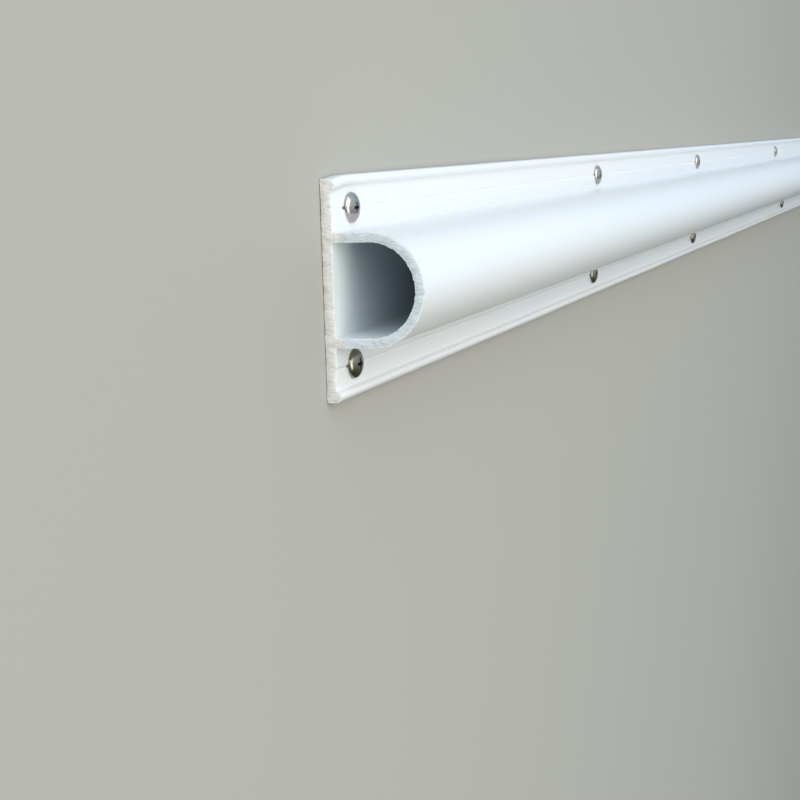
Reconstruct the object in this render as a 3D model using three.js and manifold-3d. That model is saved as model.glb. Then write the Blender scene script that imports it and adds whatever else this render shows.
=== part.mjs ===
// Dock bumper strip: an extruded D-shaped tube between two screwing flanges, with its screws.
// Millimetres. The strip lies on its back: X runs along its length, Y across its width and
// Z out of its back, towards the rounded nose. The origin is the centre of the back.

import * as THREE from 'three';
import { mergeVertices } from 'three/addons/utils/BufferGeometryUtils.js';
import Module from 'manifold-3d';

const wasm = await Module();
wasm.setup();

// Driving dimensions of the extrusion.
const LENGTH = 2438;
const DEPTH = 39;
const TUBE_WIDTH = 41.8;
const TUBE_WALL = 3.4;
const BACK_WALL = 4;
const FLANGE_WIDTH = 20.35;
const FLANGE_THICKNESS = 3.8;
const LIP_HEIGHT = 5.7;
const LIP_RADIUS = 2;
const BACK_EDGE_RADIUS = 0.5;
const ROOT_FILLET = 0.8;
const BORE_FILLET = 0.8;

// The strip of flange between the drill line and the tube stands a little proud.
const PAD_RISE = 0.3;
const DRILL_LINE_WIDTH = 1.2;
const DRILL_LINE_DEPTH = 0.7;
const GUIDE_LINE_OFFSET = 3;
const GUIDE_LINE_WIDTH = 0.6;
const GUIDE_LINE_DEPTH = 0.25;

// The screws: low round heads with a cross recess.
const SHANK_DIAMETER = 4.8;
const HOLE_CLEARANCE = 0.3;
const TIP_CLEARANCE = 0.3;
const HEAD_DIAMETER = 11.5;
const HEAD_HEIGHT = 2.6;
const HEAD_RIM = 0.35;
const RECESS_SPAN = 4.4;
const RECESS_ARM = 1.1;
const RECESS_DEPTH = 1.4;
const RECESS_HEADROOM = 1;

// Two rows of screws. Each was set by hand, so it stands off its even station by a share of
// the pitch. The last screw of a row is always on its station.
const SCREWS_PER_ROW = 8;
const END_INSET = 18;
const ROWS = [
  { name: 'upper', side: 1, drift: [0.004, -0.008, -0.143, 0.082, 0.04, -0.05, 0.03] },
  { name: 'lower', side: -1, drift: [-0.005, -0.042, -0.191, 0.241, 0.09, -0.06, 0.05] },
];
const HEAD_TURN_STEP = 37;

// Corners closer than this are one corner.
const WELD_DISTANCE = 1e-4;

// Steps of the round surfaces.
const NOSE_STEPS = 20;
const SMALL_ARC_STEPS = 4;
const LIP_STEPS = 9;
const SCREW_SIDES = 24;
const DOME_STEPS = 4;

const tubeRadius = TUBE_WIDTH / 2;
const boreRadius = tubeRadius - TUBE_WALL;
const noseCentre = DEPTH - tubeRadius;
const halfWidth = tubeRadius + FLANGE_WIDTH;
const padHeight = FLANGE_THICKNESS + PAD_RISE;
const lipFoot = halfWidth - 2 * LIP_RADIUS;
const drillLine = (tubeRadius + lipFoot) / 2;
const guideLine = tubeRadius + GUIDE_LINE_OFFSET;
const pitch = (LENGTH - 2 * END_INSET) / (SCREWS_PER_ROW - 1);

const vinyl = new THREE.MeshStandardMaterial({ color: 0xdfe6e8, roughness: 0.3, metalness: 0 });
const stainless = new THREE.MeshStandardMaterial({ color: 0xb9b6ac, roughness: 0.25, metalness: 0.9 });

// Points of an arc about (y, z), from one angle in degrees to another, both ends included.
function arc(y, z, radius, from, to, steps) {
  const points = [];
  for (let i = 0; i <= steps; i += 1) {
    const angle = THREE.MathUtils.degToRad(from + ((to - from) * i) / steps);
    points.push(new THREE.Vector2(y + radius * Math.cos(angle), z + radius * Math.sin(angle)));
  }
  return points;
}

// A half outline runs from its top on the centre line round to its bottom, on the +Y side.
// The whole outline is the mirror image and then the half backwards, anticlockwise.
function mirrored(half) {
  const other = half.map((p) => new THREE.Vector2(-p.x, p.y));
  return [...other, ...half.slice(1).reverse()];
}

function outerHalf() {
  const lipCentre = LIP_HEIGHT - LIP_RADIUS;
  const lipAngle = THREE.MathUtils.radToDeg(Math.asin((FLANGE_THICKNESS - lipCentre) / LIP_RADIUS));
  const rootCentre = tubeRadius + ROOT_FILLET;
  const backEdge = halfWidth - BACK_EDGE_RADIUS;
  return [
    ...arc(0, noseCentre, tubeRadius, 90, 0, NOSE_STEPS),
    ...arc(rootCentre, padHeight + ROOT_FILLET, ROOT_FILLET, 180, 270, SMALL_ARC_STEPS),
    new THREE.Vector2(guideLine - GUIDE_LINE_WIDTH / 2, padHeight),
    new THREE.Vector2(guideLine, padHeight - GUIDE_LINE_DEPTH),
    new THREE.Vector2(guideLine + GUIDE_LINE_WIDTH / 2, padHeight),
    new THREE.Vector2(drillLine - DRILL_LINE_WIDTH / 2, padHeight),
    new THREE.Vector2(drillLine, padHeight - DRILL_LINE_DEPTH),
    new THREE.Vector2(drillLine + DRILL_LINE_WIDTH / 2, FLANGE_THICKNESS),
    ...arc(halfWidth - LIP_RADIUS, lipCentre, LIP_RADIUS, 180 - lipAngle, 0, LIP_STEPS),
    ...arc(backEdge, BACK_EDGE_RADIUS, BACK_EDGE_RADIUS, 0, -90, SMALL_ARC_STEPS),
  ];
}

function boreHalf() {
  const cornerCentre = boreRadius - BORE_FILLET;
  return [
    ...arc(0, noseCentre, boreRadius, 90, 0, NOSE_STEPS),
    ...arc(cornerCentre, BACK_WALL + BORE_FILLET, BORE_FILLET, 0, -90, SMALL_ARC_STEPS),
  ];
}

// A closed three.js geometry as a solid. Equal corners are joined first, and the flat
// triangles that a turned profile leaves on its axis are dropped.
function solidOf(geometry) {
  const bare = geometry.clone();
  bare.deleteAttribute('normal');
  bare.deleteAttribute('uv');
  const merged = mergeVertices(bare, WELD_DISTANCE);
  const corners = merged.index.array;
  const kept = [];
  for (let i = 0; i < corners.length; i += 3) {
    const [a, b, c] = corners.slice(i, i + 3);
    if (a !== b && b !== c && c !== a) kept.push(a, b, c);
  }
  return new wasm.Manifold(new wasm.Mesh({
    numProp: 3,
    vertProperties: new Float32Array(merged.attributes.position.array),
    triVerts: new Uint32Array(kept),
  }));
}

function geometryOf(solid) {
  const mesh = solid.getMesh();
  const geometry = new THREE.BufferGeometry();
  geometry.setAttribute('position', new THREE.BufferAttribute(mesh.vertProperties, 3));
  geometry.setIndex(new THREE.BufferAttribute(mesh.triVerts, 1));
  geometry.computeVertexNormals();
  return geometry;
}

// The distance of a row's screw from the middle of the strip.
function station(row, index) {
  const last = index === SCREWS_PER_ROW - 1;
  const drift = last ? 0 : row.drift[index % row.drift.length];
  return END_INSET - LENGTH / 2 + pitch * (index + drift);
}

// The section is drawn across the strip and carried along it.
function extrusion() {
  const section = new THREE.Shape(mirrored(outerHalf()));
  section.holes.push(new THREE.Path(mirrored(boreHalf())));
  const geometry = new THREE.ExtrudeGeometry(section, { depth: LENGTH, bevelEnabled: false });
  const across = new THREE.Vector3(0, 1, 0);
  const up = new THREE.Vector3(0, 0, 1);
  const along = new THREE.Vector3(1, 0, 0);
  geometry.applyMatrix4(new THREE.Matrix4().makeBasis(across, up, along));
  geometry.translate(-LENGTH / 2, 0, 0);
  return geometry;
}

// A drill twice as long as the flange is thick, centred on the flange.
function screwHole(row, index) {
  const radius = SHANK_DIAMETER / 2 + HOLE_CLEARANCE;
  const drill = new THREE.CylinderGeometry(radius, radius, 2 * padHeight, SCREW_SIDES);
  drill.rotateX(Math.PI / 2);
  drill.translate(station(row, index), row.side * drillLine, padHeight / 2);
  return solidOf(drill);
}

function bumperProfile() {
  let solid = solidOf(extrusion());
  for (const row of ROWS) {
    for (let i = 0; i < SCREWS_PER_ROW; i += 1) {
      solid = solid.subtract(screwHole(row, i));
    }
  }
  return geometryOf(solid);
}

// A plus sign with arms of equal length, cut down into the head. One arm's end and the inner
// corner after it are drawn, and turned by quarters.
function crossRecess() {
  const reach = RECESS_SPAN / 2;
  const side = RECESS_ARM / 2;
  const arm = [
    new THREE.Vector2(reach, -side),
    new THREE.Vector2(reach, side),
    new THREE.Vector2(side, side),
  ];
  const origin = new THREE.Vector2();
  const outline = [];
  for (let quarter = 0; quarter < 4; quarter += 1) {
    outline.push(...arm.map((p) => p.clone().rotateAround(origin, (quarter * Math.PI) / 2)));
  }
  const depth = RECESS_DEPTH + RECESS_HEADROOM;
  const geometry = new THREE.ExtrudeGeometry(new THREE.Shape(outline), { depth, bevelEnabled: false });
  geometry.translate(0, 0, HEAD_HEIGHT - RECESS_DEPTH);
  return geometry;
}

// The screw stands on the seat of its head, at z = 0. The dome is a slice of a ball, whose
// top is put exactly on the axis.
function screw() {
  const headRadius = HEAD_DIAMETER / 2;
  const shankRadius = SHANK_DIAMETER / 2;
  const rise = HEAD_HEIGHT - HEAD_RIM;
  const ball = (headRadius ** 2 + rise ** 2) / (2 * rise);
  const spread = THREE.MathUtils.radToDeg(Math.asin(headRadius / ball));
  const dome = arc(0, HEAD_HEIGHT - ball, ball, 90 - spread, 90, DOME_STEPS);
  dome[dome.length - 1].x = 0;
  const tip = TIP_CLEARANCE - padHeight;
  const profile = [
    new THREE.Vector2(0, tip),
    new THREE.Vector2(shankRadius, tip),
    new THREE.Vector2(shankRadius, 0),
    new THREE.Vector2(headRadius, 0),
    ...dome,
  ];
  const turned = new THREE.LatheGeometry(profile, SCREW_SIDES);
  turned.rotateX(Math.PI / 2);
  return geometryOf(solidOf(turned).subtract(solidOf(crossRecess())));
}

const strip = new THREE.Group();

const profile = new THREE.Mesh(bumperProfile(), vinyl);
profile.name = 'bumper_profile';
strip.add(profile);

const screwGeometry = screw();
ROWS.forEach((row) => {
  for (let i = 0; i < SCREWS_PER_ROW; i += 1) {
    const piece = new THREE.Mesh(screwGeometry, stainless);
    piece.name = `screw_${row.name}_${i + 1}`;
    piece.position.set(station(row, i), row.side * drillLine, padHeight);
    piece.rotation.z = THREE.MathUtils.degToRad(row.side * HEAD_TURN_STEP * i);
    strip.add(piece);
  }
});

export default strip;
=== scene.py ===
"""Looks of the dock bumper strip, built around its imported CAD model.

Metres. The strip lies on its back: X runs along it, Y across it and Z out of its back.
The white extrusion is a section carried along X, and each screw is one surface of two
parameters that is closed by rings. Their materials are worked out from Object coordinates
and from attributes of the meshes.
"""

import math

import bpy
import numpy as np
from bpy.props import FloatProperty, FloatVectorProperty, PointerProperty
from mathutils import Matrix, Vector
from mathutils.geometry import delaunay_2d_cdt


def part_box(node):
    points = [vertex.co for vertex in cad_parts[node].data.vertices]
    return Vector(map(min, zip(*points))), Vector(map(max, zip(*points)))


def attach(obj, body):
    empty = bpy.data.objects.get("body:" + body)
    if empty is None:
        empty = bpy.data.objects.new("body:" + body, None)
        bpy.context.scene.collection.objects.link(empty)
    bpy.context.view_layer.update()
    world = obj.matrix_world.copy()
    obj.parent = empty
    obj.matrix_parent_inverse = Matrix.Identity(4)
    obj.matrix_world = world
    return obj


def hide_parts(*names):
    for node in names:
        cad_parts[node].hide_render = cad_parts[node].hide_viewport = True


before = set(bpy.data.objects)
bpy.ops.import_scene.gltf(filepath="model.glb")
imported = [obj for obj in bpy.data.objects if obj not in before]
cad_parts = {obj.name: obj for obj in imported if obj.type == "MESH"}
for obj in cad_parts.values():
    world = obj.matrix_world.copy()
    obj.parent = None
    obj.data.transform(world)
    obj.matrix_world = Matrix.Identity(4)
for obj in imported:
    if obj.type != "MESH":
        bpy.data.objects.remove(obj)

bl_info = {
    "name": "Dock bumper strip",
    "version": (1, 0, 0),
    "blender": (4, 5, 0),
    "location": "3D View > Sidebar > Bumper strip",
    "description": "Builds a hollow vinyl dock bumper with its screws and a plain studio",
    "category": "Add Mesh",
}

PROFILE_NODE = "bumper_profile"
BODY = "root"
MM = 0.001

# Material slots of the extrusion.
SKIN, SAWN = 0, 1

# The sawn ends: the parts that each side of the section is cut into there, and the numbers
# that start their random rows.
CUT_PARTS = 3
NEAR_SEED, FAR_SEED = 3, 40

# Edges that turn further than this stay sharp.
CREASE = math.radians(35)

# What Blender's triangulation is asked for: all that lies inside its edges.
INSIDE_EDGES = 1

# Y and Z of the point about which the saw's blade turned.
SAW_CENTRE = (0.35, 0.085)

# The near cut leans by these slopes with Y and with Z, and the lean fades along the strip.
LEAN_ACROSS = 0.03
LEAN_UP = 0.06
LEAN_FADE = 60 * MM

# The upper lip droops at the near end, and the foot of the lip a little less.
LIP_DROOP = 1.3 * MM
FOOT_DROOP = 0.7 * MM
DROOP_FADE = 9 * MM

# How far from a screw the flange's edge starts to lift.
LIFT_REACH = 70 * MM

# Degrees by which each head is turned further than the one before.
HEAD_TURN = 37

VINYL_IOR = 1.5

# The camera's place, its right-hand side and its view, and the place that the lamps face.
CAMERA_PLACE = (-1.6459, 0.0507, 0.2213)
CAMERA_RIGHT = (0.4027, -0.0391, 0.9145)
CAMERA_FORWARD = (0.8958, -0.1883, -0.4025)
LIT_PLACE = (-0.9, 0, 0)


def millimetres(value, name, description):
    return FloatProperty(
        name=name, description=description, default=value * MM, unit="LENGTH", precision=5
    )


def colour(value, name, description):
    return FloatVectorProperty(
        name=name, description=description, default=value, subtype="COLOR", size=3, min=0, max=1
    )


def share(value, name, description):
    return FloatProperty(
        name=name, description=description, default=value, subtype="FACTOR", min=0, max=1
    )


class ExtrusionSettings(bpy.types.PropertyGroup):
    """Sizes and colours of the white extrusion."""

    depth: millimetres(39, "Depth", "From the flat back to the top of the nose")
    width: millimetres(82.5, "Width", "Over both flanges")
    tube_width: millimetres(41.8, "Tube width", "Over the outside of the tube")
    tube_wall: millimetres(3.4, "Tube wall", "Thickness of the tube's round wall")
    back_wall: millimetres(4, "Back wall", "Thickness of the flat back under the tube")
    flange_thickness: millimetres(3.8, "Flange thickness", "Outside the drill line")
    pad_rise: millimetres(0.3, "Pad rise", "How far the inner half of a flange stands proud")
    lip_height: millimetres(5.7, "Lip height", "From the back to the top of a lip")
    lip_radius: millimetres(2, "Lip radius", "Radius of the round lip")
    drill_depth: millimetres(0.3, "Drill line depth", "Depth of the groove for the screws")
    drill_width: millimetres(1.2, "Drill line width", "Width of the groove for the screws")
    guide_depth: millimetres(0.1, "Guide line depth", "Depth of the line beside the tube")
    guide_width: millimetres(0.6, "Guide line width", "Width of the line beside the tube")
    hole_diameter: millimetres(5.4, "Hole diameter", "Screw holes through the flanges")
    edge_lift: millimetres(0.45, "Edge lift", "How far a flange's edge lifts between screws")
    burr: millimetres(0.4, "Burr", "How ragged the sawn edges are")
    vinyl: colour((0.825, 0.805, 0.81), "Vinyl", "Colour of the moulded skin")
    vinyl_roughness: share(0.31, "Vinyl roughness", "Gloss of the moulded skin")
    # Painted shade: the inside of the tube turns to this away from its ends.
    bore: colour((0.68, 0.75, 0.8), "Bore", "Colour of the dull inside of the tube")
    sawn: colour((0.9, 0.845, 0.79), "Sawn vinyl", "Colour of the sawn ends")
    # Painted shade: the sawn face turns to this, darker and bluer, towards the nose.
    sawn_shade: colour((0.71, 0.79, 0.86), "Sawn vinyl, far wall", "Colour of the sawn nose")
    # Painted shade where the drill line runs under a head's rim.
    rim_shade: colour((0.07, 0.055, 0.045), "Grime", "Colour of the dirt at a screw's rim")


class ScrewSettings(bpy.types.PropertyGroup):
    """Sizes and colours of the round-headed screws."""

    head_diameter: millimetres(11.5, "Head diameter", "Over the round head")
    head_height: millimetres(2.6, "Head height", "From the seat to the top of the dome")
    head_rim: millimetres(0.35, "Head rim", "Height of the upright rim under the dome")
    shank_diameter: millimetres(4.8, "Shank diameter", "Shank in the flange")
    recess_span: millimetres(4.4, "Recess span", "Over two opposite arms of the cross")
    recess_arm: millimetres(1.1, "Recess arm", "Width of an arm at the top")
    recess_depth: millimetres(1.4, "Recess depth", "Depth of the cross at its middle")
    recess_draft: millimetres(0.22, "Recess draft", "How far the walls lean in")
    tip_clearance: millimetres(0.3, "Tip clearance", "From the back to the shank's end")
    steel: colour((0.52, 0.475, 0.43), "Steel", "Colour of the polished heads")
    # Painted reflection: the lower row turns to this, mirroring shade and dark ground.
    steel_dark_reflection: colour((0.2, 0.195, 0.13), "Dull steel", "Darker tone of the lower row")
    steel_roughness: share(0.17, "Steel roughness", "Gloss of the heads")
    # Painted shade at the bottom of the cross.
    recess_shade: colour((0.035, 0.02, 0.018), "Recess shade", "Colour at the bottom of the cross")


class StudioSettings(bpy.types.PropertyGroup):
    """The floor, the lights and the camera."""

    floor_half: FloatProperty(
        name="Floor", description="Half the side of the floor", default=150.0, unit="LENGTH"
    )
    floor_colour: colour((0.41, 0.385, 0.35), "Floor colour", "Colour of the plain floor")
    sky: colour((0.62, 0.7, 0.75), "Sky", "Soft light from all round")
    blue: colour((0.4, 0.72, 1.0), "Blue", "Soft light from +Y, which was the top")
    horizon: colour((0.33, 0.48, 0.62), "Horizon", "Soft light from +X, past the far end")
    ground: colour((0.1, 0.097, 0.075), "Ground", "Soft light from -Y, which was the bottom")
    sky_strength: FloatProperty(
        name="Sky strength",
        description="Strength of the light all round",
        default=1.15,
        min=0,
        subtype="UNSIGNED",
    )
    key_power: FloatProperty(
        name="Key power", description="Power of the wide key light", default=73, unit="POWER"
    )
    fill_power: FloatProperty(
        name="Fill power", description="Power of the fill light", default=14, unit="POWER"
    )
    lens: FloatProperty(
        name="Lens", description="Focal length", default=59.535, unit="CAMERA"
    )


class Quantity:
    """A socket of a shader. Python's operators on it add the Math nodes."""

    def __init__(self, shader, socket):
        self.shader = shader
        self.socket = socket

    def _maths(self, operation, *values):
        return self.shader.node("ShaderNodeMath", {"operation": operation}, *values)

    def __add__(self, other):
        return self._maths("ADD", self, other)

    def __sub__(self, other):
        return self._maths("SUBTRACT", self, other)

    def __mul__(self, other):
        return self._maths("MULTIPLY", self, other)

    def __truediv__(self, other):
        return self._maths("DIVIDE", self, other)

    def __pow__(self, other):
        return self._maths("POWER", self, other)

    def __rsub__(self, other):
        return self._maths("SUBTRACT", other, self)

    def __rtruediv__(self, other):
        return self._maths("DIVIDE", other, self)

    def __rpow__(self, other):
        return self._maths("POWER", other, self)

    __radd__ = __add__
    __rmul__ = __mul__

    def __abs__(self):
        return self._maths("ABSOLUTE", self)

    def between(self, low, high):
        """0 below low, 1 above high and a smooth slope from one to the other."""
        settings = {"interpolation_type": "SMOOTHSTEP"}
        return self.shader.node("ShaderNodeMapRange", settings, self, low, high, 0.0, 1.0)


class Shader:
    """A material whose nodes are added by expressions."""

    def __init__(self, name):
        self.material = bpy.data.materials.new(name)
        self.material.use_nodes = True
        self.tree = self.material.node_tree
        self.surface = self.tree.nodes["Principled BSDF"]

    def add(self, kind, settings, values):
        """Adds a node, gives it its settings and then fills its sockets in their order.
        A dict fills them by name or number."""
        node = self.tree.nodes.new(kind)
        for key, value in settings.items():
            setattr(node, key, value)
        named = values[0] if values and isinstance(values[0], dict) else dict(enumerate(values))
        for key, value in named.items():
            self.fill(node.inputs[key], value)
        return node

    def node(self, kind, settings, *values, output=0):
        return Quantity(self, self.add(kind, settings, values).outputs[output])

    def fill(self, socket, value):
        if isinstance(value, Quantity):
            self.tree.links.new(value.socket, socket)
        elif hasattr(value, "__len__") and len(value) == 3 and socket.type == "RGBA":
            socket.default_value = (*value, 1.0)
        else:
            socket.default_value = value

    def place(self):
        """X, Y and Z of the Object coordinates."""
        place = self.node("ShaderNodeTexCoord", {}, output="Object")
        split = self.add("ShaderNodeSeparateXYZ", {}, (place,))
        return [Quantity(self, split.outputs[axis]) for axis in "XYZ"]

    def vector(self, x, y, z):
        return self.node("ShaderNodeCombineXYZ", {}, x, y, z)

    def noise(self, vector, scale, detail=2.0, roughness=0.5):
        inputs = {"Vector": vector, "Scale": scale, "Detail": detail, "Roughness": roughness}
        return self.node("ShaderNodeTexNoise", {}, inputs)

    def specks(self, vector, scale):
        """Distance to the nearest of many scattered points, in cells."""
        inputs = {"Vector": vector, "Scale": scale, "Randomness": 1.0}
        return self.node("ShaderNodeTexVoronoi", {}, inputs, output="Distance")

    def attribute(self, name):
        settings = {"attribute_type": "GEOMETRY", "attribute_name": name}
        return self.node("ShaderNodeAttribute", settings, output="Fac")

    def mixed(self, factor, first, second):
        inputs = {0: factor, 6: first, 7: second}
        settings = {"data_type": "RGBA", "blend_type": "MIX"}
        return self.node("ShaderNodeMix", settings, inputs, output=2)

    def finish(self, sockets, height=None):
        """Fills the surface's sockets by name. Height is in metres and bends the normal."""
        if height is not None:
            inputs = {"Strength": 1.0, "Distance": 1.0, "Height": height}
            self.fill(self.surface.inputs["Normal"], self.node("ShaderNodeBump", {}, inputs))
        for name, value in sockets.items():
            self.fill(self.surface.inputs[name], value)
        return self.material


def vinyl_skin(settings, half_length):
    """Moulded white vinyl: faint die lines along the strip, a slow drift of colour, a few
    dark specks, light scuffs across it and painted shade where the drill line runs under
    a screw's rim.

    The inside of the tube is duller, a little bluer, and darker away from its ends: that
    darkening is painted shade deep in the bore. It is what lies above the middle of the
    back and nearer to the tube's middle plane, or to the centre of its nose, than the
    middle of its wall."""
    shader = Shader("white_vinyl_skin")
    x, y, z = shader.place()
    place = shader.vector(x, y, z)
    drift = shader.noise(shader.vector(x * 3, y * 18, z * 18), 1.0, 3.0)
    mottle = shader.noise(place, 160.0, 3.0)
    die_lines = shader.noise(shader.vector(x * 1.5, y * 900, z * 900), 1.0, 2.0, 0.6)
    gate = shader.noise(place, 23.0, 1.0).between(0.5, 0.62)
    speck = (1 - shader.specks(place, 210.0).between(0.05, 0.11)) * gate
    lean = shader.vector((x * 0.8 + y * 0.6) * 34, (y * 0.8 - x * 0.6) * 950, z * 60)
    scuff = shader.noise(lean, 1.0, 2.0).between(0.68, 0.76)
    scuff = scuff * shader.noise(place, 11.0, 1.0).between(0.55, 0.7)
    rim_shade = shader.attribute("rim_shade")
    above = z - (settings.depth - settings.tube_width / 2)
    above = (above + abs(above)) / 2
    beyond = (y * y + above * above) ** 0.5 - (settings.tube_width - settings.tube_wall) / 2
    inside = beyond.between(0.4 * MM, -0.4 * MM)
    inside = inside * z.between(settings.back_wall * 0.5, settings.back_wall * 0.75)
    deep_shade = abs(x).between(half_length - 3 * MM, half_length - 25 * MM)
    skin = shader.mixed(drift.between(0.3, 0.7) * 0.4, settings.vinyl, (0.785, 0.8, 0.82))
    skin = shader.mixed(scuff * 0.3, skin, (0.7, 0.72, 0.74))
    skin = shader.mixed(speck * 0.55, skin, (0.3, 0.3, 0.3))
    skin = shader.mixed(inside, skin, (0.8, 0.82, 0.84))
    # Painted shade deep in the bore, darker away from the tube's ends.
    skin = shader.mixed(inside * deep_shade, skin, settings.bore)
    # Painted shade where the drill line runs under each head's rim.
    skin = shader.mixed(rim_shade, skin, settings.rim_shade)
    roughness = settings.vinyl_roughness + (mottle - 0.5) * 0.03 + scuff * 0.08 + rim_shade * 0.4
    roughness = roughness + inside * 0.35
    height = die_lines * (0.001 * MM) + mottle * (0.002 * MM)
    sockets = {"Base Color": skin, "Roughness": roughness, "IOR": VINYL_IOR}
    return shader.finish(sockets, height)


def sawn_vinyl(settings):
    """Sawn vinyl: matt, with the blade's arcs about a point beside the section, a torn
    grain, and paler burrs along its edges. The arcs are painted paler on their ridges
    and darker in their grooves, as highlight and shade over their bumps. The burrs are
    partly pale torn vinyl and partly a painted highlight along the edges. The sawn face
    turns darker and bluer from 3 to 12 mm above the back, painted shade on the tube's cut."""
    shader = Shader("sawn_vinyl")
    x, y, z = shader.place()
    place = shader.vector(x, y, z)
    across = y - SAW_CENTRE[0]
    up = z - SAW_CENTRE[1]
    radius = (across * across + up * up) ** 0.5
    swing = shader.node("ShaderNodeMath", {"operation": "ARCTAN2"}, across, up)
    wobble = shader.noise(place, 300.0, 2.0)
    stroke = shader.vector(radius * 2500 + wobble * 2, swing * 110, x * 40)
    arcs = shader.noise(stroke, 1.0, 3.0, 0.65)
    torn = shader.noise(place, 1100.0, 3.0, 0.6)
    stain = shader.noise(place, 150.0, 2.0)
    burr = shader.attribute("burr")
    # Painted shade: the sawn face darker and bluer from 3 to 12 mm above the back.
    face = shader.mixed(z.between(3 * MM, 12 * MM), settings.sawn, settings.sawn_shade)
    face = shader.mixed(stain.between(0.35, 0.7) * 0.3, face, (0.6, 0.56, 0.53))
    # Painted highlight on the arcs' ridges and painted shade in their grooves.
    face = shader.mixed(arcs.between(0.5, 0.66) * 0.65, face, (0.95, 0.96, 0.96))
    face = shader.mixed((1 - arcs.between(0.34, 0.47)) * 0.45, face, (0.45, 0.42, 0.41))
    # Pale burrs: partly torn vinyl, partly a painted highlight along the sawn edges.
    face = shader.mixed(burr * torn.between(0.3, 0.5), face, (0.96, 0.98, 0.98))
    height = arcs * (0.2 * MM) + torn * (0.13 * MM)
    sockets = {"Base Color": face, "Roughness": 0.62 + torn * 0.2, "IOR": VINYL_IOR}
    return shader.finish(sockets, height)


def polished_steel(settings):
    """Polished stainless steel with a faint grain. The lower row is painted darker and olive,
    a painted reflection of the tube's shaded underside and of dark ground, and the bottom
    of the cross is painted dark as shade."""
    shader = Shader("polished_stainless")
    x, y, z = shader.place()
    place = shader.vector(x, y, z)
    grain = shader.noise(place, 2600.0, 2.0)
    smear = shader.noise(place, 420.0, 2.0)
    depth = shader.attribute("recess")
    steel = shader.mixed(smear.between(0.35, 0.75) * 0.5, settings.steel, (0.42, 0.38, 0.34))
    # Painted reflection: the lower row darker and olive, mirroring the tube's shade and dark
    # ground.
    steel = shader.mixed(y.between(-5 * MM, -15 * MM) * 0.7, steel, settings.steel_dark_reflection)
    # Painted shade at the bottom of the cross recess.
    steel = shader.mixed(depth.between(0.08, 0.4), steel, settings.recess_shade)
    roughness = settings.steel_roughness + smear * 0.1 + depth * 0.3
    height = grain * (0.003 * MM) + smear * (0.012 * MM)
    sockets = {"Base Color": steel, "Metallic": 1.0, "Roughness": roughness}
    return shader.finish(sockets, height)


def floor_paint(settings):
    """Plain matt paint, with a faint cloud of a paler tone."""
    shader = Shader("floor_paint")
    x, y, z = shader.place()
    cloud = shader.noise(shader.vector(x, y, z), 2.0, 2.0)
    paint = shader.mixed(cloud * 0.1, settings.floor_colour, (0.5, 0.48, 0.45))
    return shader.finish({"Base Color": paint, "Roughness": 0.85})


def mesh_piece(name, points, faces, materials, slots=None):
    """A mesh object at the origin, smooth but for edges sharper than the crease angle."""
    mesh = bpy.data.meshes.new(name)
    mesh.from_pydata(points, [], faces)
    for material in materials:
        mesh.materials.append(material)
    if slots is not None:
        mesh.polygons.foreach_set("material_index", np.asarray(slots, dtype=np.int32))
    mesh.validate()
    mesh.shade_smooth()
    mesh.set_sharp_from_angle(angle=CREASE)
    mesh.update()
    piece = bpy.data.objects.new(name, mesh)
    bpy.context.scene.collection.objects.link(piece)
    return piece


def point_values(mesh, name, values):
    """Gives a mesh an attribute that its material reads, one number to a point."""
    attribute = mesh.attributes.new(name, "FLOAT", "POINT")
    attribute.data.foreach_set("value", np.ascontiguousarray(values, dtype=np.float32))


def skin_quads(rings):
    """Quads between neighbouring rings of point numbers. Each ring is closed, and the
    normal is the ring's direction crossed with the direction from ring to ring."""
    following = np.roll(rings, -1, axis=1)
    quads = np.stack((rings[:-1], following[:-1], following[1:], rings[1:]), axis=-1)
    return quads.reshape(-1, 4).tolist()


def arc(y, z, radius, start, stop, steps):
    """A circle's arc: the centre plus the radius along each angle, in degrees."""
    angle = np.radians(np.linspace(start, stop, steps + 1))
    return np.column_stack((y + radius * np.cos(angle), z + radius * np.sin(angle)))


def straight(start, stop, steps):
    """A straight line: the two ends mixed in even steps."""
    mix = np.linspace(0, 1, steps + 1)[:, None]
    return np.asarray(start) * (1 - mix) + np.asarray(stop) * mix


def closed_outline(half):
    """A half outline from the nose down to the back, closed by its mirror image. It runs
    anticlockwise, and points that repeat are left out."""
    loop = np.concatenate((half[::-1], half[1:-1] * (-1, 1)))
    step = np.linalg.norm(loop - np.roll(loop, 1, axis=0), axis=1)
    return loop[step > 1e-7]


def groove(y, middle, width, depth):
    """A V with a soft bottom: depth times one less the distance from its middle, as a
    share of half its width and raised to 1.3."""
    reach = np.clip(np.abs(y - middle) * 2 / width, 0, 1)
    return depth * (1 - reach**1.3)


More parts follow.
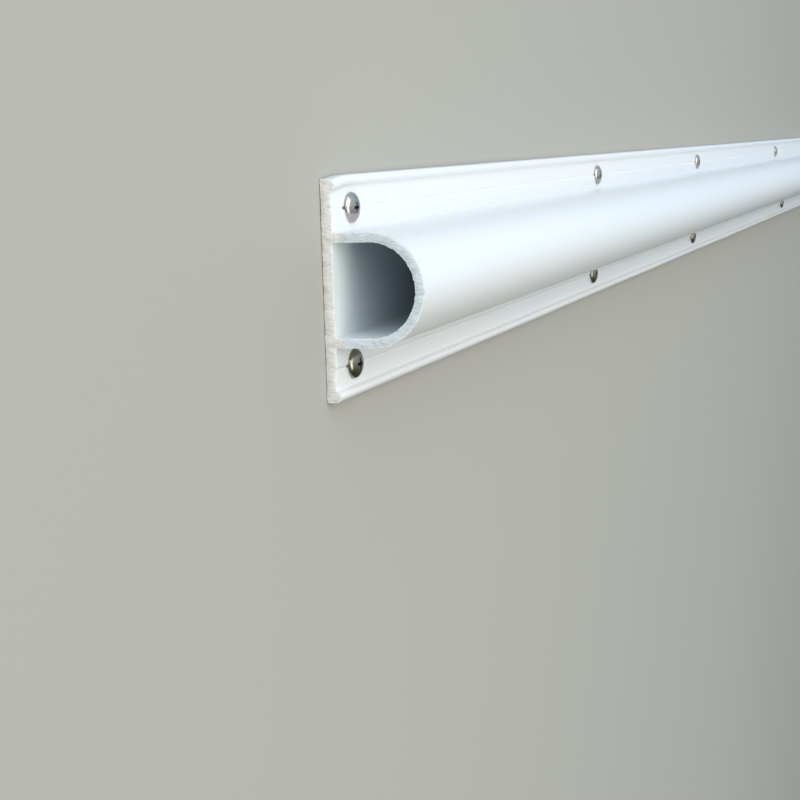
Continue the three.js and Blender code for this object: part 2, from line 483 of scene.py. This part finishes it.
def section(settings):
    """The extrusion's outer outline and its bore, each closed, as (y, z).

    The outline is made of arcs and straight lines: nose, tube's side, root fillet, flange
    with its two grooves, the fillet at the lip's foot, round lip and back edge. A faint
    line runs along the lip: a bell of its depth about one angle, towards its centre."""
    s = settings
    tube = s.tube_width / 2
    nose = s.depth - tube
    edge = s.width / 2
    pad = s.flange_thickness + s.pad_rise
    lip_y = edge - s.lip_radius
    lip_z = s.lip_height - s.lip_radius
    drill = (tube + edge - 2 * s.lip_radius) / 2
    guide = tube + 3 * MM
    root = 0.8 * MM
    foot = 1.2 * MM
    corner = 0.5 * MM
    lip_steps = 18
    line_angle, line_spread, line_depth = 52, 8, 0.11 * MM
    foot_drop = s.flange_thickness + foot - lip_z
    foot_reach = math.sqrt((s.lip_radius + foot) ** 2 - foot_drop**2)
    foot_angle = math.degrees(math.atan2(foot_drop, foot_reach))
    spots = [
        np.linspace(tube + root, guide - s.guide_width / 2, 3),
        guide + s.guide_width / 2 * np.linspace(-1, 1, 5),
        np.linspace(guide + s.guide_width, drill - s.drill_width, 4),
        drill + s.drill_width / 2 * np.linspace(-1, 1, 9),
        np.linspace(drill + s.drill_width, lip_y - foot_reach, 5),
    ]
    y = np.unique(np.round(np.concatenate(spots), 7))
    level = np.where(y < drill, pad, s.flange_thickness)
    sunk = groove(y, guide, s.guide_width, s.guide_depth)
    sunk = np.maximum(sunk, groove(y, drill, s.drill_width, s.drill_depth))
    lip = arc(lip_y, lip_z, s.lip_radius, 180 - foot_angle, 0, lip_steps)
    around = np.linspace(180 - foot_angle, 0, lip_steps + 1)
    line = line_depth * np.exp(-(((around - line_angle) / line_spread) ** 2))
    lip = lip + line[:, None] * ((lip_y, lip_z) - lip) / s.lip_radius
    outer = closed_outline(
        np.concatenate(
            (
                arc(0, nose, tube, 90, 0, 30),
                straight((tube, nose), (tube, pad + root), 7),
                arc(tube + root, pad + root, root, 180, 270, 5),
                np.column_stack((y, level - sunk)),
                arc(lip_y - foot_reach, s.flange_thickness + foot, foot, 270, 360 - foot_angle, 4),
                lip,
                arc(edge - corner, corner, corner, 0, -90, 4),
                straight((edge - corner, 0), (0, 0), 20),
            )
        )
    )
    inner_radius = tube - s.tube_wall
    bore = closed_outline(
        np.concatenate(
            (
                arc(0, nose, inner_radius, 90, 0, 24),
                straight((inner_radius, nose), (inner_radius, s.back_wall + root), 5),
                arc(inner_radius - root, s.back_wall + root, root, 0, -90, 5),
                straight((inner_radius - root, s.back_wall), (0, s.back_wall), 7),
            )
        )
    )
    return outer, bore[::-1]


def refined(loop, parts):
    """Each side of a closed loop cut into equal parts."""
    mix = (np.arange(parts) / parts)[:, None]
    following = np.roll(loop, -1, axis=0)
    return (loop[:, None] * (1 - mix) + following[:, None] * mix).reshape(-1, 2)


def outward(loop):
    """Unit normals of a closed loop, out of the vinyl: the tangent turned a quarter."""
    tangent = np.roll(loop, -1, axis=0) - np.roll(loop, 1, axis=0)
    tangent /= np.linalg.norm(tangent, axis=1)[:, None]
    return np.column_stack((tangent[:, 1], -tangent[:, 0]))


def shrunk(loop, distance):
    """A closed loop moved into the vinyl in short steps. After each, every point is drawn
    half way to the middle of its neighbours, so that the loop doesn't cross itself."""
    steps = 40
    for _ in range(steps):
        loop = loop - outward(loop) * distance[:, None] / steps
        beside = (np.roll(loop, 1, axis=0) + np.roll(loop, -1, axis=0)) / 2
        loop = (loop + beside) / 2
    return loop


def flat_between(points, outer, hole):
    """Triangles over the flat between two closed loops of point numbers, anticlockwise.
    The hole's loop runs clockwise, so a triangle that meets it in the other order fills
    the hole, and is left out."""
    numbers = np.concatenate((outer, hole))
    edges = []
    for start, size in ((0, len(outer)), (len(outer), len(hole))):
        edges.extend((start + i, start + (i + 1) % size) for i in range(size))
    flat = [Vector(point) for point in points[numbers] / MM]
    made = delaunay_2d_cdt(flat, edges, [], INSIDE_EDGES, 1e-7)
    faces, origins = made[2], made[3]
    faces = np.array([[origins[i][0] for i in face] for face in faces])
    rising = (faces < np.roll(faces, -1, axis=1)).sum(axis=1)
    filling = (faces >= len(outer)).all(axis=1) & (rising == 1)
    return numbers[faces[~filling]]


def rough_row(count, seed, smooth):
    """A closed row of random numbers from 0 to 1, each blurred over its neighbours."""
    row = np.random.default_rng(seed).random(count)
    spectrum = np.fft.rfft(row - row.mean())
    spectrum *= np.exp(-((np.fft.rfftfreq(count) * smooth) ** 2))
    row = np.fft.irfft(spectrum, count)
    return (row - row.min()) / (row.max() - row.min())


def strip_stations(half_length, screws):
    """Distances along the strip: close at the ends and about each screw, wide between.
    The first and the last leave room for the sawn ends."""
    end_room = 1.6 * MM
    closest = 0.45 * MM
    about = np.array([-9, -7.6, -7, -6.4, -5.8, -5.2, -4, -2.9, 0, 2.9, 4, 5.6, 8, 16, 28]) * MM
    ends = half_length - np.append(end_room, np.array([3, 5, 8, 12, 17, 24, 34]) * MM)
    near = (screws[:, None] + about).ravel()
    every = np.concatenate((np.linspace(-half_length, half_length, 60), ends, -ends, near))
    every = np.sort(every[np.abs(every) <= half_length - end_room])
    return every[np.diff(every, prepend=-1e3) > closest]


def settled(points, settings, half_length, screws):
    """How the real strip departs from a straight one.

    The near cut leans: X grows with Y and Z, by less and less along the strip. The upper
    lip droops at the near end, by a bell along X that grows across the flange, with more at
    the lip's foot. A flange lifts off the floor between its screws: by one less a bell about
    the nearest screw, times its distance from the tube to the power 1.5, with a slow wave."""
    x, y, z = points.T.copy()
    edge = settings.width / 2
    lean = LEAN_ACROSS * (y + edge) + LEAN_UP * z
    x = x + lean * np.clip(1 - (x + half_length) / LEAN_FADE, 0, 1)
    outer = np.clip((y - 30 * MM) / (7 * MM), 0, 1)
    foot = np.exp(-(((y - 36.5 * MM) / (3 * MM)) ** 2))
    fade = np.exp(-(((x + half_length) / DROOP_FADE) ** 2))
    y = y - (LIP_DROOP * outer + FOOT_DROOP * foot) * fade
    reach = np.clip((np.abs(y) - settings.tube_width / 2) / (20 * MM), 0, 1) ** 1.5
    for side in (1, -1):
        row = screws[np.sign(screws[:, 1]) == side]
        gap = np.abs(x[:, None] - row[:, 0]).min(axis=1)
        lift = settings.edge_lift * (1 - np.exp(-((gap / LIFT_REACH) ** 2)))
        wave = 0.75 + 0.25 * np.sin(x * 23 + side)
        z = z + np.where(np.sign(y) == side, reach * lift * wave, 0)
    return np.column_stack((x, y, z))


def screw_places():
    """Middle of each screw's head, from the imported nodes, as {name: (x, y, z of the seat)}."""
    places = {}
    for name in sorted(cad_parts):
        if name.startswith("screw_"):
            low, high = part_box(name)
            places[name] = ((low.x + high.x) / 2, (low.y + high.y) / 2, high.z)
    return places


def end_rings(outer, bore, settings, seed, x, inward):
    """Three rings of each outline at a sawn end: the flat of the cut, its ragged edge and
    the whole section behind it. The flat is the outline moved into the vinyl, and the edge
    is moved out by the burr, or in along the back, which lies on the floor."""
    setback_share = 0.9
    behind = 0.45 * MM
    rings = []
    for loop, number in ((outer, seed), (bore, seed + 1)):
        normal = outward(loop)
        ragged = rough_row(len(loop), number, smooth=2.2) ** 2
        waver = rough_row(len(loop), number + 10, smooth=3)
        down = normal[:, 1] < -0.6
        size = settings.burr * np.where(down & (loop is outer), -0.9, 0.8)
        edge = loop + normal * (size * ragged)[:, None]
        flat = shrunk(loop, (0.36 + 0.2 * waver + np.where(down, 0.12, 0)) * MM)
        setback = inward * settings.burr * setback_share * waver
        rings.append(
            [
                np.column_stack((np.full(len(loop), x), flat)),
                np.column_stack((x + setback, edge)),
                np.column_stack((np.full(len(loop), x + inward * behind), loop)),
            ]
        )
    return rings


class Surface:
    """Points and faces that become one mesh, with the burr of each point and the material
    slot of each face."""

    def __init__(self):
        self.points, self.burrs, self.faces, self.slots = [], [], [], []
        self.count = 0

    def ring(self, points, burr=0.0):
        """Adds a ring of points, and gives their numbers."""
        self.points.append(points)
        self.burrs.append(np.full(len(points), burr))
        self.count += len(points)
        return np.arange(self.count - len(points), self.count)

    def close(self, faces, slot):
        self.faces.extend(faces)
        self.slots.extend([slot] * len(faces))


class STRIP_OT_extrusion(bpy.types.Operator):
    """Build the white extrusion: its section carried along X, with sawn ends and holes"""

    bl_idname = "bumper_strip.extrusion"
    bl_label = "White extrusion"

    def execute(self, context):
        settings = context.scene.bumper_extrusion
        low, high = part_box(PROFILE_NODE)
        half_length = (high.x - low.x) / 2
        screws = np.array(list(screw_places().values()))
        outlines = section(settings)
        fine = [refined(loop, CUT_PARTS) for loop in outlines]
        along = strip_stations(half_length, screws[:, 0])
        near = end_rings(*fine, settings, NEAR_SEED, -half_length, 1)
        far = end_rings(*fine, settings, FAR_SEED, half_length, -1)
        surface = Surface()
        near_flat, far_flat = [], []
        for loop, near_rings, far_rings in zip(outlines, near, far):
            rows = [np.column_stack((np.full(len(loop), x), loop)) for x in along]
            body = [surface.ring(row) for row in rows]
            surface.close(skin_quads(np.array(body)), SKIN)
            near_flat.append(self.sawn_end(surface, near_rings, body[0], 1))
            far_flat.append(self.sawn_end(surface, far_rings, body[-1], -1))
        points = np.concatenate(surface.points)
        for flat, facing in ((near_flat, -1), (far_flat, 1)):
            cap = flat_between(points[:, 1:], *flat)[:, ::facing]
            surface.close(cap.tolist(), SAWN)
        strip = mesh_piece(
            "white_extrusion",
            settled(points, settings, half_length, screws),
            surface.faces,
            [vinyl_skin(settings, half_length), sawn_vinyl(settings)],
            surface.slots,
        )
        point_values(strip.data, "burr", np.concatenate(surface.burrs))
        strip.data = self.drilled(strip, settings, screws)
        strip.data.name = "white_extrusion"
        self.paint_rim_shade(strip.data, screws)
        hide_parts(PROFILE_NODE)
        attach(strip, BODY)
        return {"FINISHED"}

    def sawn_end(self, surface, rings, row, inward):
        """Adds an end's rings, and joins the last, which is finer, to the strip's row
        beside it. Gives the numbers of the cut's flat."""
        flat, edge, whole = rings
        numbers = np.array([surface.ring(flat), surface.ring(edge, burr=1.0), surface.ring(whole)])
        surface.close(skin_quads(numbers[::inward]), SAWN)
        parts = numbers[-1].reshape(-1, CUT_PARTS)
        parts = np.column_stack((parts, np.roll(parts[:, 0], -1)))
        joint = np.column_stack((parts, np.roll(row, -1), row))[:, ::inward]
        surface.close(joint.tolist(), SKIN)
        return numbers[0]

    def drilled(self, strip, settings, screws):
        """The strip's mesh less a round drill at each screw, which reaches past both faces
        of the flange."""
        sides = 32
        drill_ends = (-2 * MM, 9 * MM)
        angle = np.linspace(0, 2 * math.pi, sides, endpoint=False)
        circle = np.column_stack((np.cos(angle), np.sin(angle))) * settings.hole_diameter / 2
        blocks, faces = [], []
        for number, (x, y, _) in enumerate(screws):
            for z in drill_ends:
                blocks.append(np.column_stack((circle + (x, y), np.full(sides, z))))
            rings = np.arange(2 * sides).reshape(2, sides) + number * 2 * sides
            faces.extend(skin_quads(rings))
            faces.extend([rings[0][::-1].tolist(), rings[1].tolist()])
        drill = mesh_piece("drill", np.concatenate(blocks), faces, [])
        cut = strip.modifiers.new("drilled", "BOOLEAN")
        cut.operation = "DIFFERENCE"
        cut.solver = "MANIFOLD"
        cut.object = drill
        graph = bpy.context.evaluated_depsgraph_get()
        mesh = bpy.data.meshes.new_from_object(
            strip.evaluated_get(graph), preserve_all_data_layers=True, depsgraph=graph
        )
        if len(mesh.vertices) == len(strip.data.vertices):
            raise RuntimeError("the drill cut no holes")
        strip.modifiers.clear()
        bpy.data.objects.remove(drill)
        mesh.set_sharp_from_angle(angle=CREASE)
        return mesh

    def paint_rim_shade(self, mesh, screws):
        """Painted shade in the drill line under a head: a bell about a spot just before its rim.
        """
        spot = 6 * MM
        spread = 0.6 * MM
        flat = np.zeros(len(mesh.vertices) * 3, np.float32)
        mesh.vertices.foreach_get("co", flat)
        x, y, z = flat.reshape(-1, 3).T
        along = (x[:, None] - screws[:, 0] + spot) / spread
        across = (y[:, None] - screws[:, 1]) / spread
        bell = np.exp(-(along**2) - across**2).max(axis=1)
        point_values(mesh, "rim_shade", np.where(z > 1 * MM, np.clip(bell * 1.5, 0, 1), 0))


def head_surface(settings):
    """The domed top of a head on a square grid, whose outermost square is its round rim.

    Inside the cross the grid is square. Outside it, each square is mixed with the circle
    of the same reach, by how far out it is. The dome is its rise times one less the 2.2th
    power of the distance from the axis, as a share of the radius, to the power 0.62. The
    cross is cut down by its depth, which fades outwards, and its walls lean by the draft."""
    s = settings
    radius = s.head_diameter / 2
    reach = s.recess_span / 2
    arm = s.recess_arm / 2
    inner = reach + 0.2 * MM
    lines = np.concatenate(
        (
            [0, arm - s.recess_draft, arm],
            np.linspace(arm, reach - s.recess_draft, 5)[1:],
            [reach, inner],
            np.linspace(inner, radius, 11)[1:],
        )
    )
    lines = np.concatenate((-lines[:0:-1], lines))
    u, v = np.meshgrid(lines, lines, indexing="ij")
    out = np.maximum(np.abs(u), np.abs(v))
    safe = np.maximum(out, 1e-9)
    square = np.stack((u, v), axis=-1) / safe[..., None]
    circle = square / np.maximum(np.linalg.norm(square, axis=-1), 1e-9)[..., None]
    mix = np.clip((out - inner) / (radius - inner), 0, 1)[..., None]
    flat = square * (1 - mix) * inner + circle * mix * radius
    flat = np.where(out[..., None] <= inner, np.stack((u, v), axis=-1), flat)
    away = np.minimum(np.linalg.norm(flat, axis=-1) / radius, 1)
    rise = s.head_height - s.head_rim
    top = s.head_rim + rise * (1 - away**2.2) ** 0.62
    one = np.maximum(np.abs(u) - arm, np.abs(v) - reach)
    other = np.maximum(np.abs(v) - arm, np.abs(u) - reach)
    inside = np.clip(-np.minimum(one, other) / s.recess_draft, 0, 1)
    floor = s.recess_depth * (1 - 0.45 * np.clip(out / reach, 0, 1) ** 1.5)
    sunk = inside * floor
    return flat, top - sunk, sunk / s.recess_depth


def rim_order(count):
    """Numbers of a square grid's outermost points, anticlockwise from one corner."""
    grid = np.arange(count * count).reshape(count, count)
    return np.concatenate((grid[:-1, 0], grid[-1, :-1], grid[:0:-1, -1], grid[0, :0:-1]))


class STRIP_OT_screws(bpy.types.Operator):
    """Build the screws: a domed head with a cross recess and the shank inside the flange"""

    bl_idname = "bumper_strip.screws"
    bl_label = "Round-headed screws"

    def execute(self, context):
        settings = context.scene.bumper_screws
        steel = polished_steel(settings)
        for name, (x, y, top) in screw_places().items():
            row, number = name.split("_")[1:]
            side = 1 if row == "upper" else -1
            turn = math.radians(side * HEAD_TURN * (int(number) - 1))
            seat = top - settings.head_height
            points, faces, depth = self.shape(settings, seat)
            c, s = math.cos(turn), math.sin(turn)
            points = points @ np.array(((c, s, 0), (-s, c, 0), (0, 0, 1))) + (x, y, seat)
            screw = mesh_piece(f"round_head_{row}_{number}", points, faces, [steel])
            point_values(screw.data, "recess", depth)
            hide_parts(name)
            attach(screw, BODY)
        return {"FINISHED"}

    def shape(self, settings, seat):
        """The head's top grid, then rings round its rim, under it and down the shank, each
        a circle of some reach at some height, and a round face at the shank's end."""
        s = settings
        flat, top, depth = head_surface(s)
        count = len(flat)
        grid = np.arange(count * count).reshape(count, count)
        quads = np.stack((grid[:-1, :-1], grid[1:, :-1], grid[1:, 1:], grid[:-1, 1:]), axis=-1)
        faces = quads.reshape(-1, 4).tolist()
        rim = rim_order(count)
        points = np.concatenate((flat.reshape(-1, 2), top.reshape(-1, 1)), axis=1)
        radius = s.head_diameter / 2
        direction = flat.reshape(-1, 2)[rim] / radius
        shank = s.shank_diameter / 2
        tip = s.tip_clearance - seat
        rings = [
            (radius, 0.12 * MM),
            (radius - 0.03 * MM, 0.03 * MM),
            (radius - 0.12 * MM, 0),
            (shank + 0.25 * MM, 0),
            (shank, -0.25 * MM),
            (shank, tip + 0.2 * MM),
            (shank - 0.2 * MM, tip),
        ]
        numbers = [rim]
        for reach, height in rings:
            numbers.append(len(points) + np.arange(len(rim)))
            ring = np.column_stack((direction * reach, np.full(len(rim), height)))
            points = np.concatenate((points, ring))
        faces.extend(skin_quads(np.array(numbers)[::-1]))
        faces.append(numbers[-1][::-1].tolist())
        depth = np.concatenate((depth.ravel(), np.zeros(len(points) - depth.size)))
        return points, faces, depth


class STRIP_OT_studio(bpy.types.Operator):
    """Build the plain floor, the soft lights and the camera"""

    bl_idname = "bumper_strip.studio"
    bl_label = "Studio"

    def execute(self, context):
        settings = context.scene.bumper_studio
        scene = context.scene
        half = settings.floor_half
        level = -0.2 * MM
        corners = [(-half, -half), (half, -half), (half, half), (-half, half)]
        points = [(x, y, level) for x, y in corners]
        floor = mesh_piece("floor", points, [(0, 1, 2, 3)], [floor_paint(settings)])
        scene.view_settings.view_transform = "Standard"
        self.sky(scene, settings)
        self.lamp("key", (-2.2, 1.4, 2.35), 3.6, settings.key_power, (1, 0.955, 0.89))
        self.lamp("fill", (-1.9, -0.6, 2.05), 1.2, settings.fill_power, (0.92, 1, 0.9))
        camera = bpy.data.cameras.new("camera")
        camera.lens = settings.lens
        camera.sensor_width = 36.0
        camera.clip_start = 0.01
        camera.clip_end = 400.0
        holder = bpy.data.objects.new("camera", camera)
        scene.collection.objects.link(holder)
        right = Vector(CAMERA_RIGHT).normalized()
        forward = Vector(CAMERA_FORWARD).normalized()
        up = right.cross(forward)
        turn = Matrix((right, up, -forward)).transposed()
        holder.matrix_world = Matrix.Translation(CAMERA_PLACE) @ turn.to_4x4()
        scene.camera = holder
        return {"FINISHED"}

    def sky(self, scene, settings):
        """Light all round: the sky's colour, which turns to the blue at +Y, to the
        horizon's at +X and to the ground's at -Y."""
        world = bpy.data.worlds.new("studio")
        scene.world = world
        world.use_nodes = True
        nodes = world.node_tree.nodes
        links = world.node_tree.links
        place = nodes.new("ShaderNodeTexCoord")
        split = nodes.new("ShaderNodeSeparateXYZ")
        links.new(place.outputs["Generated"], split.inputs[0])
        mixed = None
        for axis, low, high, tint in (
            ("Y", 0.4, 0.95, settings.blue),
            ("X", 0.6, 0.98, settings.horizon),
            ("Y", 0.2, -0.55, settings.ground),
        ):
            slope = nodes.new("ShaderNodeMapRange")
            slope.interpolation_type = "SMOOTHSTEP"
            slope.inputs["From Min"].default_value = low
            slope.inputs["From Max"].default_value = high
            links.new(split.outputs[axis], slope.inputs["Value"])
            mix = nodes.new("ShaderNodeMix")
            mix.data_type = "RGBA"
            mix.inputs[6].default_value = (*settings.sky, 1)
            if mixed is not None:
                links.new(mixed, mix.inputs[6])
            mix.inputs[7].default_value = (*tint, 1)
            links.new(slope.outputs[0], mix.inputs[0])
            mixed = mix.outputs[2]
        background = nodes["Background"]
        background.inputs["Strength"].default_value = settings.sky_strength
        links.new(mixed, background.inputs["Color"])

    def lamp(self, name, place, size, power, tint):
        """A square area light of that size, facing the part of the strip by the camera."""
        light = bpy.data.lights.new(name, "AREA")
        light.size = size
        light.energy = power
        light.color = tint
        holder = bpy.data.objects.new(name, light)
        bpy.context.scene.collection.objects.link(holder)
        direction = Vector(LIT_PLACE) - Vector(place)
        holder.location = place
        holder.rotation_mode = "QUATERNION"
        holder.rotation_quaternion = direction.to_track_quat("-Z", "Y")


class STRIP_PT_panel(bpy.types.Panel):
    """Lists the sizes and colours, and the operators that build the pieces"""

    bl_label = "Bumper strip"
    bl_idname = "STRIP_PT_panel"
    bl_space_type = "VIEW_3D"
    bl_region_type = "UI"
    bl_category = "Bumper strip"

    def draw(self, context):
        for operator, group in STEPS:
            box = self.layout.box()
            settings = getattr(context.scene, group)
            for key in settings.bl_rna.properties.keys():
                if key not in ("rna_type", "name"):
                    box.prop(settings, key)
            box.operator(operator.bl_idname)


GROUPS = {
    "bumper_extrusion": ExtrusionSettings,
    "bumper_screws": ScrewSettings,
    "bumper_studio": StudioSettings,
}
STEPS = (
    (STRIP_OT_extrusion, "bumper_extrusion"),
    (STRIP_OT_screws, "bumper_screws"),
    (STRIP_OT_studio, "bumper_studio"),
)
CLASSES = (*GROUPS.values(), *(operator for operator, group in STEPS), STRIP_PT_panel)


def register():
    for cls in CLASSES:
        bpy.utils.register_class(cls)
    for name, group in GROUPS.items():
        setattr(bpy.types.Scene, name, PointerProperty(type=group))


def unregister():
    for name in GROUPS:
        delattr(bpy.types.Scene, name)
    for cls in reversed(CLASSES):
        bpy.utils.unregister_class(cls)


def main():
    register()
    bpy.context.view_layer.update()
    bpy.ops.bumper_strip.extrusion()
    bpy.ops.bumper_strip.screws()
    bpy.ops.bumper_strip.studio()


if __name__ == "__main__":
    main()
